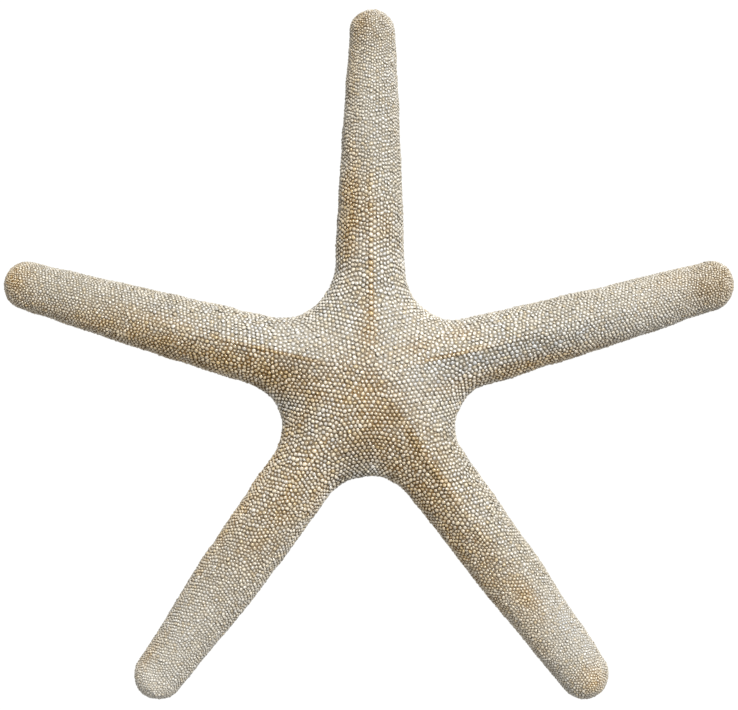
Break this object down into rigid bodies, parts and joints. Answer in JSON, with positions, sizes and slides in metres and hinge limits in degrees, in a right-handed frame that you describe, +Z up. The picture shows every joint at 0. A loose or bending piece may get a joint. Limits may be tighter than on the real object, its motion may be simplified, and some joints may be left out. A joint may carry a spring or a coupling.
{
  "type": "dried finger starfish",
  "caption": "Dried starfish with slim round-tipped arms spread from a small domed disc, granular skin and a furrow under each arm, lying flat as a shelf or table ornament.",
  "frame": {"origin": "on the resting plane, under the middle of the bounding box", "axes": "+Z up out of the resting plane; +X along the longest spread, from the tip of the left arm to the tip of the right arm; +Y towards the arm that points straight up in the picture"},
  "size_m": [0.1598, 0.151, 0.013],
  "materials": {
    "skin": "dry, chalky cream granules over brown skin, stained golden brown at the tips and along the keels"
  },
  "bodies": {
    "root": {"starfish": "skin"}
  },
  "joints": []
}
